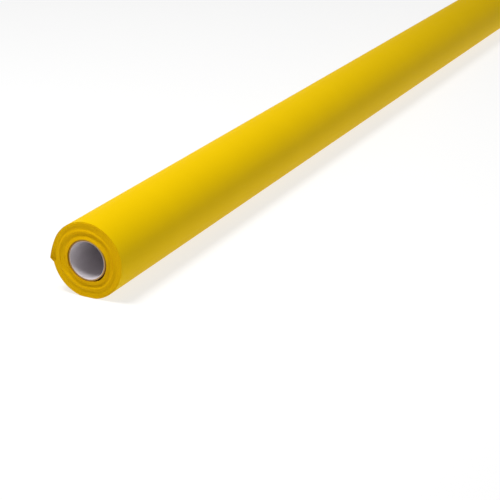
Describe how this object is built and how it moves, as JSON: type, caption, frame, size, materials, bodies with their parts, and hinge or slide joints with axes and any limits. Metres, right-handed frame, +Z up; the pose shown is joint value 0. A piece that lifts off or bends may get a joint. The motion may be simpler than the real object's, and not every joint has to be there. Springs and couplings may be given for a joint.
{
  "type": "roll of sign vinyl",
  "caption": "Wide roll of matte self-adhesive sign film on a release liner, wound on an open paper-lined board core, with a free end that lifts.",
  "frame": {"origin": "middle of the flat that the roll rests on", "axes": "+X along the roll's axis, +Z up, and the web's free end hangs on the +Y side"},
  "size_m": [1.37, 0.081, 0.0772],
  "materials": {
    "vinyl_film": "satin",
    "release_liner": "satin",
    "lining_paper": "matte",
    "core_board": "matte",
    "kraft_cover": "matte",
    "start_tape": "satin"
  },
  "bodies": {
    "roll": {"core_lining_ply": "lining_paper", "core_board_ply": "core_board", "core_cover_ply": "kraft_cover", "start_tape": "start_tape", "face_film": "vinyl_film", "release_liner": "release_liner"},
    "free_end": {"face_film_free_end": "vinyl_film", "release_liner_free_end": "release_liner"}
  },
  "joints": [
    {"name": "free_end_lift", "type": "hinge", "parent": "roll", "child": "free_end", "pos_m": [0, 0.03535, 0.05468], "axis": [1, 0, 0], "range_deg": [0, 80]}
  ]
}
